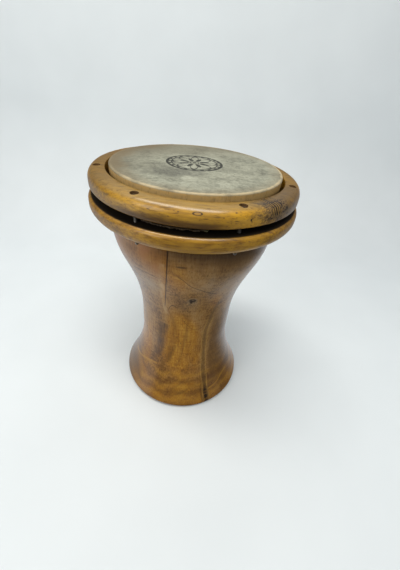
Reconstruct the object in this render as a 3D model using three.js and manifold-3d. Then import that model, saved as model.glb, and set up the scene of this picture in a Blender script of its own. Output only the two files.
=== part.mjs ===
// Goblet hand drum, about 400 mm tall, standing on its foot.
//
// A hollow wooden shell turned in one piece carries a skin head. A lower ring is glued round the
// bowl, a top ring presses on the lapped edge of the skin, and a circle of bolts pulls the two
// rings together. Units are millimetres, +Z is up, and the origin is the middle of the underside.

import * as THREE from "three";
import { mergeVertices } from "three/addons/utils/BufferGeometryUtils.js";
import Module from "manifold-3d";

const wasm = await Module();
wasm.setup();

// Shell: heights are above the floor, radii are of the outside.
const FOOT_R = 108.8;
const FOOT_Z = 7;
const BASE_R = 102.5;
const BASE_BORE_R = 92;
const WAIST_R = 75;
const WAIST_Z = 125;
const FLARE_POWER = 1.95;
const BOWL_R = 110.6;
const BOWL_Z = 310;
const BOWL_POWER = 1.8;
const WALL = 14;
const SEAT_R = 108.4;
const NECK_R = 106;
const SHELL_TOP = 388.4;
const BEARING_WIDTH = 6;
const BEARING_ROUND = 2;

// Lower ring, glued round the seat under the rim.
const LOWER_R = 134.9;
const LOWER_BOTTOM = 334;
const LOWER_TOP = 355.8;
const LOWER_ROUND_TOP = 5.4;
const LOWER_ROUND_BOTTOM = 12.8;

// Top ring, pulled down a little further on its right-hand side.
const TOP_R = 132;
const TOP_BORE_R = 111.9;
const TOP_HEIGHT = 21.4;
const TOP_MID_Z = 373.9;
const TOP_ROUND_TOP = 10.5;
const TOP_ROUND_BOTTOM = 4.7;
const TOP_TILT_DEG = 0.52;

// Skin head: a stretched disc, its collar, and the edge lapped round a flesh hoop.
const HEAD_TOP = 390;
const SKIN = 1.3;
const COLLAR_R = 107.5;
const HOOP_R = 117.3;
const HOOP_HEIGHT = 5;
const HOOP_DROP = 3;

// Bolts: cap screws with a hexagon socket, in counterbored holes.
const BOLT_CIRCLE_R = 121.2;
const BOLT_AZIMUTHS_DEG = [-166.6, -118.7, -66.7, -16.8, 35.5, 87.5, 140];
const SHANK_R = 2.5;
const SHANK_HOLE_R = 2.85;
const CAP_R = 4.2;
const CAP_HOLE_R = 4.7;
const CAP_HEIGHT = 5;
const CAP_SINK = 2.4;
const SOCKET_R = 2.3;
const SOCKET_DEPTH = 2.6;
const BOLT_TIP_Z = 328.1;

const GAP = 0.3;
const SIDES = 48;

const wood = { color: 0x8d6842, roughness: 0.35, metalness: 0 };
const ringWood = { color: 0xab8a4e, roughness: 0.38, metalness: 0 };
const skin = { color: 0xa9a088, roughness: 0.55, metalness: 0 };
const steel = { color: 0x9a9a96, roughness: 0.4, metalness: 1 };

const group = new THREE.Group();

// Adds one finished piece to the drum.
function addPiece(name, geometry, look) {
  const mesh = new THREE.Mesh(geometry, new THREE.MeshStandardMaterial(look));
  mesh.name = name;
  group.add(mesh);
}

// Turns a profile of [radius, height] pairs about the vertical axis.
function turn(profile, sides = SIDES) {
  const points = profile.map(([r, z]) => new THREE.Vector2(r, z));
  const geometry = new THREE.LatheGeometry(points, sides);
  geometry.rotateX(Math.PI / 2);
  return geometry;
}

// Makes a solid from a closed geometry, leaving out triangles that shrink to a line on the axis.
function solid(geometry) {
  const plain = geometry.clone();
  plain.deleteAttribute("normal");
  plain.deleteAttribute("uv");
  const merged = mergeVertices(plain, 1e-4);
  const index = Array.from(merged.index.array);
  const triangles = [];
  for (let i = 0; i < index.length; i += 3) {
    const [a, b, c] = index.slice(i, i + 3);
    if (a !== b && b !== c && c !== a) triangles.push(a, b, c);
  }
  const mesh = new wasm.Mesh({
    numProp: 3,
    vertProperties: new Float32Array(merged.attributes.position.array),
    triVerts: new Uint32Array(triangles),
  });
  return new wasm.Manifold(mesh);
}

// Gives a solid back as a geometry.
function geometryOf(body) {
  const mesh = body.getMesh();
  const geometry = new THREE.BufferGeometry();
  geometry.setAttribute("position", new THREE.BufferAttribute(mesh.vertProperties, 3));
  geometry.setIndex(new THREE.BufferAttribute(mesh.triVerts, 1));
  geometry.computeVertexNormals();
  return geometry;
}

// An arc of the given radius about a centre, from one angle to another.
function arc(centreR, centreZ, radius, fromDeg, toDeg, steps) {
  const points = [];
  for (let i = 0; i <= steps; i += 1) {
    const a = THREE.MathUtils.degToRad(fromDeg + ((toDeg - fromDeg) * i) / steps);
    points.push([centreR + radius * Math.cos(a), centreZ + radius * Math.sin(a)]);
  }
  return points;
}

// An upright round bar, used to drill the bolt holes.
function drill(x, y, radius, bottom, top) {
  const bar = new THREE.CylinderGeometry(radius, radius, top - bottom, 12);
  bar.rotateX(Math.PI / 2);
  bar.translate(x, y, (bottom + top) / 2);
  return solid(bar);
}

// Outside of the shell below its widest bowl: a bell foot, a slim waist and a swelling bowl.
function shellRadius(z) {
  if (z < WAIST_Z) {
    const t = (WAIST_Z - z) / (WAIST_Z - FOOT_Z);
    return WAIST_R + (FOOT_R - WAIST_R) * t ** FLARE_POWER;
  }
  const t = Math.min((z - WAIST_Z) / (BOWL_Z - WAIST_Z), 1);
  return WAIST_R + (BOWL_R - WAIST_R) * THREE.MathUtils.smoothstep(t ** BOWL_POWER, 0, 1);
}

// Height of the top ring's upper face above a point, which falls to the right with its tilt.
const tilt = THREE.MathUtils.degToRad(TOP_TILT_DEG);
const topFace = (x) => TOP_MID_Z + TOP_HEIGHT / 2 - x * Math.tan(tilt);

const bolts = BOLT_AZIMUTHS_DEG.map((azimuth, i) => {
  const a = THREE.MathUtils.degToRad(azimuth);
  const x = BOLT_CIRCLE_R * Math.cos(a);
  const y = BOLT_CIRCLE_R * Math.sin(a);
  return { name: `bolt_${i + 1}`, x, y, capTop: topFace(x) - CAP_SINK };
});

// Shell, from the floor up the outside and back down the inside.
const shellProfile = [];
shellProfile.push([BASE_BORE_R, 0]);
shellProfile.push([BASE_R, 0]);
shellProfile.push([BASE_R + 4.3, 2.2]);
for (let z = FOOT_Z; z < BOWL_Z; z += 21) shellProfile.push([shellRadius(z), z]);
shellProfile.push([BOWL_R, BOWL_Z]);
shellProfile.push([BOWL_R - 0.8, LOWER_BOTTOM - GAP]);
shellProfile.push([SEAT_R, LOWER_BOTTOM - GAP]);
shellProfile.push([SEAT_R, LOWER_TOP]);
shellProfile.push([NECK_R, LOWER_TOP]);
shellProfile.push([NECK_R, SHELL_TOP - BEARING_ROUND]);
shellProfile.push([NECK_R - BEARING_ROUND, SHELL_TOP]);
shellProfile.push([NECK_R - BEARING_WIDTH, SHELL_TOP]);
shellProfile.push([NECK_R - BEARING_WIDTH - 1.5, SHELL_TOP - 2]);
for (let z = BOWL_Z; z > FOOT_Z + 12; z -= 26) shellProfile.push([shellRadius(z) - WALL, z]);
shellProfile.push([BASE_BORE_R, 0]);
addPiece("shell", turn(shellProfile), wood);

// Lower ring: a rounded section, drilled straight through for the bolt shanks.
const lowerBore = SEAT_R + GAP;
const lowerProfile = [
  [lowerBore, LOWER_BOTTOM],
  ...arc(LOWER_R - LOWER_ROUND_BOTTOM, LOWER_BOTTOM + LOWER_ROUND_BOTTOM, LOWER_ROUND_BOTTOM, -90, 0, 4),
  ...arc(LOWER_R - LOWER_ROUND_TOP, LOWER_TOP - LOWER_ROUND_TOP, LOWER_ROUND_TOP, 0, 90, 3),
  [lowerBore, LOWER_TOP],
  [lowerBore, LOWER_BOTTOM],
];
let lowerRing = solid(turn(lowerProfile));
for (const bolt of bolts) {
  const hole = drill(bolt.x, bolt.y, SHANK_HOLE_R, LOWER_BOTTOM - 10, LOWER_TOP + 10);
  lowerRing = lowerRing.subtract(hole);
}
addPiece("lower_ring", geometryOf(lowerRing), ringWood);

// Top ring: turned about its own middle, tipped, then drilled and counterbored upright.
const half = TOP_HEIGHT / 2;
const topProfile = [
  [TOP_BORE_R, -half],
  ...arc(TOP_R - TOP_ROUND_BOTTOM, -half + TOP_ROUND_BOTTOM, TOP_ROUND_BOTTOM, -90, 0, 3),
  ...arc(TOP_R - TOP_ROUND_TOP, half - TOP_ROUND_TOP, TOP_ROUND_TOP, 0, 90, 4),
  [TOP_BORE_R + 0.8, half],
  [TOP_BORE_R, half - 0.8],
  [TOP_BORE_R, -half],
];
const topTurned = turn(topProfile);
topTurned.rotateY(tilt);
topTurned.translate(0, 0, TOP_MID_Z);
let topRing = solid(topTurned);
for (const bolt of bolts) {
  const shankHole = drill(bolt.x, bolt.y, SHANK_HOLE_R, LOWER_TOP, HEAD_TOP + 10);
  const capHole = drill(bolt.x, bolt.y, CAP_HOLE_R, bolt.capTop - CAP_HEIGHT - GAP, HEAD_TOP + 10);
  topRing = topRing.subtract(shankHole).subtract(capHole);
}
addPiece("top_ring", geometryOf(topRing), ringWood);

// Drum head: the disc and collar stand level on the shell, and the lapped hoop follows the top ring.
const collarBore = NECK_R + GAP;
const discProfile = [
  [0, HEAD_TOP - SKIN],
  [0, HEAD_TOP],
  [COLLAR_R - 3.2, HEAD_TOP],
  [COLLAR_R - 0.9, HEAD_TOP - 0.9],
  [COLLAR_R, HEAD_TOP - 3.2],
  [COLLAR_R, TOP_MID_Z - half - HOOP_DROP],
  [collarBore, TOP_MID_Z - half - HOOP_DROP],
  [collarBore, SHELL_TOP - BEARING_ROUND],
  [collarBore - BEARING_ROUND, HEAD_TOP - SKIN],
  [0, HEAD_TOP - SKIN],
].reverse();
const hoopBend = HOOP_HEIGHT / 2;
const hoopProfile = [
  [collarBore, -hoopBend],
  ...arc(HOOP_R - hoopBend, 0, hoopBend, -90, 90, 5),
  [collarBore, hoopBend],
  [collarBore, -hoopBend],
];
const hoopTurned = turn(hoopProfile);
hoopTurned.rotateY(tilt);
hoopTurned.translate(0, 0, TOP_MID_Z - half - HOOP_DROP);
addPiece("drum_head", geometryOf(solid(turn(discProfile)).add(solid(hoopTurned))), skin);

// Bolts: a rounded tip, a plain shank and a cap with its hexagon socket.
for (const bolt of bolts) {
  const boltProfile = [
    [0, BOLT_TIP_Z],
    [SHANK_R * 0.7, BOLT_TIP_Z + 0.7],
    [SHANK_R, BOLT_TIP_Z + SHANK_R],
    [SHANK_R, bolt.capTop - CAP_HEIGHT],
    [CAP_R, bolt.capTop - CAP_HEIGHT],
    [CAP_R, bolt.capTop - 0.5],
    [CAP_R - 0.5, bolt.capTop],
    [0, bolt.capTop],
  ];
  const socket = new THREE.CylinderGeometry(SOCKET_R, SOCKET_R, SOCKET_DEPTH * 2, 6);
  socket.rotateX(Math.PI / 2);
  socket.translate(0, 0, bolt.capTop);
  const geometry = geometryOf(solid(turn(boltProfile, 10)).subtract(solid(socket)));
  geometry.translate(bolt.x, bolt.y, 0);
  addPiece(bolt.name, geometry, steel);
}

export default group;
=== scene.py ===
# Goblet hand drum: a turned wooden shell, two wooden rings, a skin head and seven bolts.
# The file puts it together from the shell outwards, then sets it on a pale floor under soft light.

import functools
import math

import bmesh
import bpy
from mathutils import Matrix, Vector, noise


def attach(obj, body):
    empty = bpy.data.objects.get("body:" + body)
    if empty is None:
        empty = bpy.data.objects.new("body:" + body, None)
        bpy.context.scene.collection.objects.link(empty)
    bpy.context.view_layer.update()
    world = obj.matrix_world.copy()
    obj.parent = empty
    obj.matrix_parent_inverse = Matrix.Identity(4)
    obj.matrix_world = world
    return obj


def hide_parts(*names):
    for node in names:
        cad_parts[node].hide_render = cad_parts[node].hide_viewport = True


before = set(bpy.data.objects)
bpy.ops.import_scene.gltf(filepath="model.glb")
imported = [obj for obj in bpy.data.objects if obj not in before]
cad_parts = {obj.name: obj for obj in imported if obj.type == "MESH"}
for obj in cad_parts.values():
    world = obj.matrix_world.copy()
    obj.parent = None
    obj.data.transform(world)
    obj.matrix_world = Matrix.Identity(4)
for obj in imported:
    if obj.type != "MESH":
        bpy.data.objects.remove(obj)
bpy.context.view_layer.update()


# Shell
# One block of close-grained fruit wood, hollowed and turned to a bell foot, a slim waist and a
# swelling bowl, then oiled and polished. A drying crack, a pin knot and a dark sap seam are left
# in it, and its neck ends in the bearing edge that the skin is stretched over.

MM = 0.001
TURN = 2 * math.pi
FOOT_R, FOOT_ROUND = 108.8, 6.3
FOOT_BORE_R = 92
WAIST_R, WAIST_Z = 75, 125
FOOT_Z, FLARE_POWER = 7, 1.95
BOWL_R, BOWL_Z, BOWL_POWER = 110.6, 310, 1.8
SEAT_R, SEAT_LOW, SEAT_TOP = 108.4, 333.7, 355.8
NECK_R, SHELL_TOP, BEARING_ROUND, BEARING_INNER_R = 106, 388.4, 2, 100
WALL = 14
BORE_LOW, BORE_ROUND = 20, 0.8
SHELL_STEPS = 320


def shell_radius(z):
    """Outside radius of the shell at a height, from the foot up to the widest part of the bowl."""
    if z < WAIST_Z:
        reach = (WAIST_Z - z) / (WAIST_Z - FOOT_Z)
        return WAIST_R + (FOOT_R - WAIST_R) * reach ** FLARE_POWER
    reach = min((z - WAIST_Z) / (BOWL_Z - WAIST_Z), 1) ** BOWL_POWER
    return WAIST_R + (BOWL_R - WAIST_R) * reach * reach * (3 - 2 * reach)


def rounding(centre_r, centre_z, radius, start, end, steps):
    """Points of a rounded edge, as (radius, height) pairs, between two angles in degrees."""
    angles = [math.radians(start + (end - start) * i / steps) for i in range(steps + 1)]
    return [(centre_r + radius * math.cos(a), centre_z + radius * math.sin(a)) for a in angles]


def span(start, end, steps):
    """Evenly spaced numbers from start to end."""
    return [start + (end - start) * i / steps for i in range(steps + 1)]


def turn(profile, steps, closed=True):
    """Spins (radius, height) pairs in millimetres once round the upright axis."""
    shape = bmesh.new()
    ends = [shape.verts.new((r * MM, 0, z * MM)) for r, z in profile]
    pairs = list(zip(ends, ends[1:])) + ([(ends[-1], ends[0])] if closed else [])
    edges = [shape.edges.new(pair) for pair in pairs]
    bmesh.ops.spin(
        shape, geom=ends + edges, cent=(0, 0, 0), axis=(0, 0, 1), dvec=(0, 0, 0),
        angle=TURN, steps=steps, use_merge=True, use_duplicate=False,
    )
    bmesh.ops.remove_doubles(shape, verts=shape.verts, dist=1e-7)
    bmesh.ops.recalc_face_normals(shape, faces=shape.faces)
    return shape


def on_drum(angle, radius, height):
    """A point of the drum in metres: the angle runs from the front towards the right."""
    a = math.radians(angle)
    return Vector((radius * math.sin(a), -radius * math.cos(a), height)) * MM


def angle_of(point):
    """Degrees from the front towards the right."""
    return math.degrees(math.atan2(point.x, -point.y))


def radius_of(point):
    """Distance from the axis in millimetres."""
    return math.hypot(point.x, point.y) / MM


def push_out(vert, amount):
    """Moves a vertex away from the axis by an amount in millimetres."""
    flat = Vector((vert.co.x, vert.co.y, 0))
    vert.co += flat.normalized() * amount * MM


def as_object(name, shape):
    """Makes the finished mesh an object of the scene."""
    mesh = bpy.data.meshes.new(name)
    shape.to_mesh(mesh)
    shape.free()
    piece = bpy.data.objects.new(name, mesh)
    bpy.context.scene.collection.objects.link(piece)
    return piece


SLIT_TAPER, SLIT_WANDER, SLIT_PROUD = 0.3, 0.35, 1.5


def slit(path, surface, depth):
    """A thin wedge that follows (angle, height, width) points and cuts into a turned surface."""
    wedge = bmesh.new()
    bmesh.ops.create_cube(wedge, size=1)
    upright = [e for e in wedge.edges if abs(e.verts[0].co.z - e.verts[1].co.z) > 0.5]
    bmesh.ops.subdivide_edges(wedge, edges=upright, cuts=4 * len(path), use_grid_fill=True)
    for vert in wedge.verts:
        along = (vert.co.z + 0.5) * (len(path) - 1)
        first = min(int(along), len(path) - 2)
        part = along - first
        low, high = path[first], path[first + 1]
        angle, height, width = (a + (b - a) * part for a, b in zip(low, high))
        wander = noise.noise(Vector((height * 0.4, angle, 3.1)))
        radius = surface(height)
        outer = vert.co.y < 0
        side = vert.co.x * (width if outer else width * SLIT_TAPER) + wander * SLIT_WANDER
        reach = radius + SLIT_PROUD if outer else radius - depth
        vert.co = on_drum(angle + math.degrees(side / radius), reach, height)
    bmesh.ops.recalc_face_normals(wedge, faces=wedge.faces)
    return wedge


def join(shape, other):
    """Adds another shape to this one, and frees the other."""
    mesh = bpy.data.meshes.new("join")
    other.to_mesh(mesh)
    other.free()
    shape.from_mesh(mesh)
    bpy.data.meshes.remove(mesh)


def cut(piece, cutters):
    """Takes the cutters' shapes out of a piece, and removes the cutters."""
    tools = bmesh.new()
    for cutter in cutters:
        join(tools, cutter)
    tool = as_object("cutter", tools)
    trim = piece.modifiers.new("cut", "BOOLEAN")
    trim.operation, trim.solver, trim.object = "DIFFERENCE", "EXACT", tool
    whole = piece.evaluated_get(bpy.context.evaluated_depsgraph_get())
    result = bpy.data.meshes.new_from_object(whole)
    piece.modifiers.remove(trim)
    old, piece.data = piece.data, result
    bpy.data.meshes.remove(old)
    bpy.data.meshes.remove(tool.data)


def shade(piece, crease=35):
    """Smooth shading that stays crisp at edges sharper than the crease angle in degrees."""
    for face in piece.data.polygons:
        face.use_smooth = True
    piece.data.set_sharp_from_angle(angle=math.radians(crease))


class Signal:
    """A value, colour or vector on its way through the nodes of one material."""

    def __init__(self, tree, socket=None):
        self.tree = tree
        self.socket = socket

    def node(self, kind, settings=None, sockets=None, out=0):
        """Adds a node: its settings first, then the values or links of its sockets."""
        made = self.tree.nodes.new("ShaderNode" + kind)
        for name, value in (settings or {}).items():
            if name == "stops":
                ramp = made.color_ramp
                while len(ramp.elements) < len(value):
                    ramp.elements.new(0.5)
                for element, (place, colour) in zip(ramp.elements, value):
                    element.position = place
                    element.color = (*colour, 1)
            elif name == "curve":
                line = made.mapping.curves[0]
                while len(line.points) < len(value):
                    line.points.new(0.5, 0.5)
                for point, place in zip(line.points, value):
                    point.location = place
                    point.handle_type = "AUTO_CLAMPED"
                made.mapping.update()
            else:
                setattr(made, name, value)
        for name, value in (sockets or {}).items():
            if isinstance(value, Signal):
                self.tree.links.new(value.socket, made.inputs[name])
            else:
                made.inputs[name].default_value = value
        return Signal(self.tree, made.outputs[out])

    def maths(self, operation, *values):
        """A Math node's result for these values."""
        settings = {"operation": operation}
        return self.node("Math", settings, dict(enumerate(values)))

    def __add__(self, other):
        return self.maths("ADD", self, other)

    __radd__ = __add__

    def __sub__(self, other):
        return self.maths("SUBTRACT", self, other)

    def __rsub__(self, other):
        return self.maths("SUBTRACT", other, self)

    def __mul__(self, other):
        return self.maths("MULTIPLY", self, other)

    __rmul__ = __mul__

    def __truediv__(self, other):
        return self.maths("DIVIDE", self, other)

    def __pow__(self, other):
        return self.maths("POWER", self, other)

    def __abs__(self):
        return self.maths("ABSOLUTE", self)

    def above(self, low, high):
        """0 below low, 1 above high, smooth between. With low past high it falls instead."""
        return self.node(
            "MapRange", {"interpolation_type": "SMOOTHSTEP"},
            {"Value": self, "From Min": low, "From Max": high},
        )

    def most(self, other):
        """The larger of two values at each point."""
        return self.maths("MAXIMUM", self, other)

    def wave(self):
        """A smooth ripple between 0 and 1 that repeats with every whole number."""
        return self.maths("SINE", self * TURN) * 0.5 + 0.5

    def placed(self, scale, shift=(0, 0, 0)):
        """A vector scaled and then shifted."""
        return self.node("Mapping", {}, {"Vector": self, "Scale": scale, "Location": shift})

    def speckle(self, size, seed, stretch=(1, 1, 1), detail=3, rough=0.5):
        """Soft noise about 0.5 with features of a size in millimetres, stretched per axis."""
        scale = tuple(1 / (size * s) for s in stretch)
        place = self.placed(scale, (seed * 7.3, seed * 3.1, seed * 5.7))
        return place.node(
            "TexNoise", {}, {"Vector": place, "Scale": 1, "Detail": detail, "Roughness": rough},
        )

    def colours(self, *stops):
        """A colour for each value, from (value, colour) stops."""
        return self.node("ValToRGB", {"stops": stops}, {0: self})

    def painted(self, colour, amount):
        """This colour with another laid over it. For colours the Mix node's sockets are 6, 7, 2."""
        if not isinstance(colour, Signal):
            colour = (*colour, 1)
        return self.node("Mix", {"data_type": "RGBA"}, {0: amount, 6: self, 7: colour}, out=2)

    def read(self, points):
        """The second number of (value, result) points, read off a smooth curve."""
        first, last = points[0][0], points[-1][0]
        results = [result for _, result in points]
        low, size = min(results), (max(results) - min(results)) or 1
        curve = [((v - first) / (last - first), (r - low) / size) for v, r in points]
        part = (self - first) / (last - first)
        return self.node("FloatCurve", {"curve": curve}, {"Value": part}) * size + low


class Place:
    """Where a point of the drum lies, in millimetres and degrees, for a material to read."""

    SHEEN = 0.25

    def __init__(self, name):
        self.material = bpy.data.materials.new(name)
        self.material.use_nodes = True
        self.tree = self.material.node_tree
        self.shader = self.tree.nodes["Principled BSDF"]
        raw = Signal(self.tree).node("TexCoord", out="Object")
        self.at = raw.placed((1 / MM,) * 3)
        axes = self.at.node("SeparateXYZ", {}, {0: self.at}).socket.node
        self.x, self.y, self.z = (Signal(self.tree, socket) for socket in axes.outputs)
        self.radius = (self.x * self.x + self.y * self.y) ** 0.5
        self.angle = self.x.maths("ARCTAN2", self.x, self.y * -1) * (180 / math.pi)

    def finish(self, colour, roughness, height, depth, coat=0.0, coat_roughness=0.1):
        """Links the surface: height is the relief's signal and depth its full size in mm."""
        self.shader.inputs["Coat Roughness"].default_value = coat_roughness
        self.shader.inputs["Specular IOR Level"].default_value = self.SHEEN
        links = {"Base Color": colour, "Roughness": roughness, "Coat Weight": coat}
        for name, value in links.items():
            if isinstance(value, Signal):
                self.tree.links.new(value.socket, self.shader.inputs[name])
            else:
                self.shader.inputs[name].default_value = value
        relief = {"Height": height, "Strength": 1, "Distance": depth * MM}
        bump = height.node("Bump", {}, relief)
        self.tree.links.new(bump.socket, self.shader.inputs["Normal"])
        return self.material

    def beside(self, points, across=75):
        """How far a point is to the right of a line of (angle, height) points, in millimetres."""
        points = sorted((z, a) for a, z in points)
        return (self.angle - self.z.read(points)) * (across * math.pi / 180)

    def strip(self, points, width, soft, across=75):
        """A line along (angle, height) points that rise in height, as a mask of 0 to 1."""
        heights = [z for _, z in points]
        low, high = min(heights), max(heights)
        ends = self.z.above(low - 2, low + 2) * self.z.above(high + 2, high - 2)
        return abs(self.beside(points, across)).above(width + soft, width) * ends

    def arch(self, points, width, soft):
        """A line along (angle, height) points that run round the drum, as a mask of 0 to 1."""
        points = sorted(points)
        off = abs(self.z - self.angle.read(points))
        low, high = points[0][0], points[-1][0]
        ends = self.angle.above(low - 1.5, low + 1.5) * self.angle.above(high + 1.5, high - 1.5)
        return off.above(width + soft, width) * ends

    def spot(self, angle, height, wide, tall, soft=0.5, across=90, warp=None):
        """An oval mark of the given half sizes in millimetres, as a mask of 0 to 1."""
        u = (self.angle - angle) * (across * math.pi / 180 / wide)
        v = (self.z - height) / tall
        far = (u * u + v * v) ** 0.5
        if warp:
            far = far + (warp - 0.5) * 1.2
        return far.above(1 + soft, 1 - soft)


outside = rounding(FOOT_R - FOOT_ROUND, FOOT_ROUND, FOOT_ROUND, -90, -2, 7)
outside += [(shell_radius(z), z) for z in span(FOOT_Z, BOWL_Z, 138)]
outside += [(BOWL_R - 0.8, SEAT_LOW), (SEAT_R, SEAT_LOW), (SEAT_R, SEAT_TOP), (NECK_R, SEAT_TOP)]
outside += [(NECK_R, z) for z in (364, 373)]
outside += rounding(NECK_R - BEARING_ROUND, SHELL_TOP - BEARING_ROUND, BEARING_ROUND, 0, 90, 4)
outside += [(BEARING_INNER_R, SHELL_TOP), (BEARING_INNER_R - 1.5, SHELL_TOP - 2)]
inside = [(shell_radius(z) - WALL, z) for z in span(BOWL_Z, BORE_LOW, 46)]
inside += [(FOOT_BORE_R - 1.2, 4), (FOOT_BORE_R, BORE_ROUND), (FOOT_BORE_R + BORE_ROUND, 0)]
shell = turn(outside + inside, SHELL_STEPS)

KNOT_ANGLE, KNOT_Z, KNOT_WIDE, KNOT_TALL = 5.1, 236, 5.6, 6.8
RIM_FAR, RIM_SPREAD, RIM_HIGH, DENT_DEEP = 1.25, 0.3, 0.18, 0.9
UNEVEN_SLOW, UNEVEN_QUICK = (18, 0.45), (55, 0.12)


def near_knot(vert):
    """Whether a vertex lies on the outside, close to the pin knot."""
    close = abs(angle_of(vert.co) - KNOT_ANGLE) < 6 and abs(vert.co.z / MM - KNOT_Z) < 11
    return close and radius_of(vert.co) > WAIST_R


def ripples(vert, scale, size, shift=(0, 0, 0)):
    """Soft unevenness at a vertex: a larger scale gives closer ripples, size is in mm."""
    return noise.noise(vert.co * scale + Vector(shift)) * size


knot_edges = [edge for edge in shell.edges if all(near_knot(vert) for vert in edge.verts)]
bmesh.ops.subdivide_edges(shell, edges=knot_edges, cuts=2, use_grid_fill=True)
for vert in shell.verts:
    z, a = vert.co.z / MM, angle_of(vert.co)
    outer_side = radius_of(vert.co) > shell_radius(max(z, FOOT_Z)) - WALL / 2
    if outer_side and FOOT_Z < z < BOWL_Z + 5:
        uneven = ripples(vert, *UNEVEN_SLOW) + ripples(vert, *UNEVEN_QUICK)
        u = (a - KNOT_ANGLE) * math.radians(shell_radius(z)) / KNOT_WIDE
        v = (z - KNOT_Z) / KNOT_TALL
        far = math.hypot(u, v)
        rim = math.exp(-((far - RIM_FAR) / RIM_SPREAD) ** 2) * RIM_HIGH
        dent = max(0, 1 - far) ** 0.8 * DENT_DEEP
        push_out(vert, uneven + rim - dent)
    elif not outer_side and BORE_LOW < z < BOWL_Z:
        push_out(vert, ripples(vert, 25, 0.8) + math.sin(z * 0.9) * 0.12)

CRACK_DEEP, FOOT_CRACK_DEEP = 5, 4
CRACK = (
    (-21.8, 215, 0.05), (-19.6, 235.5, 0.25), (-16.9, 259, 0.35), (-13.7, 297, 0.55),
    (-13.2, 315, 0.8), (-13.1, 332, 0.9),
)
FOOT_CRACK = ((26.2, 7, 1.1), (27.2, 13, 1.3), (26.4, 20, 0.8), (27.6, 28, 0.5), (27.2, 38, 0.1))
shell_piece = as_object("shell_wood", shell)
crack_slit = slit(CRACK, shell_radius, CRACK_DEEP)
cut(shell_piece, [crack_slit, slit(FOOT_CRACK, shell_radius, FOOT_CRACK_DEEP)])
shade(shell_piece)

GOLD = (0.37, 0.146, 0.006)
PALE_GOLD = (0.53, 0.26, 0.022)
TAN = (0.33, 0.168, 0.042)
RUSSET = (0.125, 0.052, 0.009)
UMBER = (0.030, 0.016, 0.008)
PITH = (8.4, 10)


def fine_wood(place, along):
    """Fibre streaks and open pores that run along one axis of the block."""
    stretch = [1, 1, 1]
    stretch[along] = 14
    fibre = place.at.speckle(1.6, 3, stretch, detail=4, rough=0.6)
    stretch[along] = 3.5
    pores = place.at.speckle(1.3, 8, stretch, detail=2).above(0.37, 0.31)
    return fibre, pores


def strongest(masks):
    """One mask out of several: the strongest of them at each point."""
    return functools.reduce(Signal.most, masks)


body = Place("shell wood, oiled")
warp = body.at.speckle(46, 1, (1, 1, 2.2), detail=2)
ripple = body.at.speckle(13, 2, (1, 1, 1.6), detail=3)
pith_x = body.x + PITH[0] + warp * 30
pith_y = body.y - PITH[1] + ripple * 7
depth_in_log = (pith_x * pith_x + pith_y * pith_y) ** 0.5
rings = (depth_in_log / 6.5 + ripple * 1.6).wave()
fibre, pores = fine_wood(body, 2)
patch = body.at.speckle(34, 5, (1, 1, 1.8), detail=3)
curl = body.at.speckle(7, 11, (2.6, 2.6, 0.55), detail=2)
stipple = body.at.speckle(2.1, 13, (1, 1, 1.9), detail=3, rough=0.65)

# Golden figure: a flame up the waist, the foot, patches on the bowl and beside the crack.
left_edge = [(29, -51.6), (60, -45.4), (95, -38.4), (140, -29.7), (180, -22.3), (213, -15.8)]
right_edge = [(29, 27), (65, 20.5), (91, 21.7), (127, 21.4), (164, 17.4), (194, 7.2), (220, -2.1)]
flame = (body.angle - body.z.read(left_edge) + (warp - 0.5) * 34).above(-9, 12)
flame = flame * (body.z.read(right_edge) - body.angle + (warp - 0.5) * 20).above(-5, 10)
flame = flame * body.z.above(236, 180) * (0.3 + 0.6 * patch.above(0.36, 0.6))
foot_gold = body.z.above(78, 40) * (0.45 + 0.55 * patch.above(0.38, 0.6))
CRACK_LINE = [(a, z) for a, z, _ in CRACK]
beside_crack = body.beside(CRACK_LINE, 95)
crack_gold = beside_crack.above(-9, -3) * beside_crack.above(0.5, -0.5) * body.z.above(205, 240)
bowl_gold = strongest((
    body.spot(-8, 284, 11, 22, 0.7, warp=ripple),
    body.spot(-26, 311, 20, 10, 0.7, 108, ripple) * 0.7,
    body.spot(29, 232, 7, 24, 0.7, 82, ripple) * 0.7,
))
side_gold = body.angle.above(-40, -50) * body.angle.above(-105, -80) * body.z.above(170, 120)
gold = strongest((flame, foot_gold, side_gold * 0.9, bowl_gold * 0.75, crack_gold * 0.85))
shoulder = body.z.above(268, 326)

# Plain wood and golden wood, then growth rings and the soft bands across the foot.
tone = 0.5 + (fibre - 0.5) * 0.75 + (patch - 0.5) * 0.9 + (curl - 0.5) * 0.4
tone = tone + (stipple - 0.5) * (0.5 + 0.35 * body.z.above(170, 90))
wood = tone.colours((0.22, RUSSET), (0.5, TAN), (0.8, (0.43, 0.245, 0.085)))
golden = tone.colours((0.2, (0.19, 0.072, 0.006)), (0.5, GOLD), (0.8, PALE_GOLD))
wood = wood.painted(golden, gold)
wood = wood.painted((0.11, 0.047, 0.014), rings ** 5 * (0.05 + 0.3 * patch.above(0.45, 0.65)))
foot_band = (body.z / 24 + warp * 1.7 + ripple * 0.3 + stipple * 0.15).wave()
foot_reach = body.z.above(88, 56)
wood = wood.painted((0.14, 0.055, 0.008), foot_band ** 3 * foot_reach * 0.5)
wood = wood.painted(PALE_GOLD, (1 - foot_band) ** 4 * foot_reach * 0.4)
foot_left = body.angle.above(-35, -75) * body.angle.above(-150, -110) * body.z.above(100, 70)
foot_shade = foot_left * 0.5 + body.z.above(72, 25) * 0.3
wood = wood.painted((0.115, 0.056, 0.010), foot_shade)

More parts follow.
